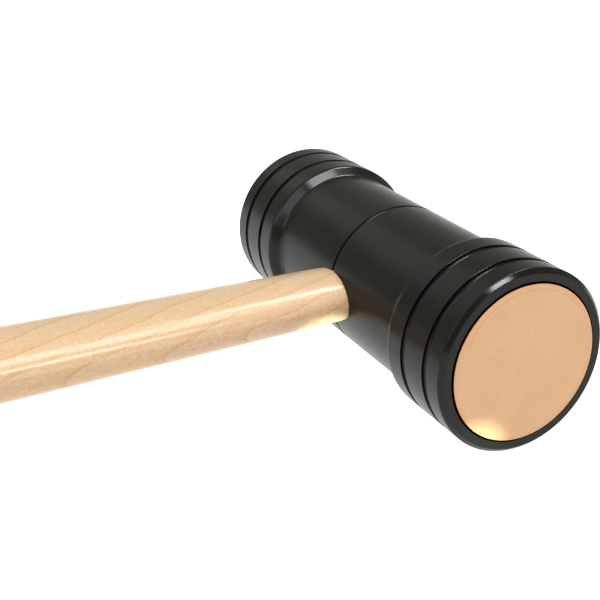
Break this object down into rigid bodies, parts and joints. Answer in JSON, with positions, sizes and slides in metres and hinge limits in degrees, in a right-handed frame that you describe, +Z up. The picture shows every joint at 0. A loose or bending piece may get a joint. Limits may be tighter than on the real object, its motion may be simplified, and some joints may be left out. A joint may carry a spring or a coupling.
{
  "type": "tubular bell mallet",
  "caption": "Hammer-shaped mallet for tubular bells: turned black head with grooved collars, a leather striking face inset in each end, and an oval wooden handle wedged through it.",
  "frame": {"origin": "on the surface the mallet lies on, under the middle of its bounding box", "axes": "+Z up; Y along the head's axis, with the front leather face at -Y; the handle runs towards -X and dips 2.1 degrees until its butt touches the surface"},
  "size_m": [0.3419, 0.102, 0.04],
  "materials": {
    "head_plastic": "black turned acetal, satin with a soft gloss",
    "leather": "smooth natural vegetable-tanned leather",
    "handle_wood": "pale close-grained hardwood under clear lacquer",
    "wedge_wood": "bare hardwood end grain",
    "wedge_steel": "plain steel"
  },
  "bodies": {
    "root": {"head_body": "head_plastic", "leather_face_front": "leather", "leather_face_rear": "leather", "handle": "handle_wood", "wooden_wedge": "wedge_wood", "steel_wedge_front": "wedge_steel", "steel_wedge_rear": "wedge_steel"}
  },
  "joints": []
}
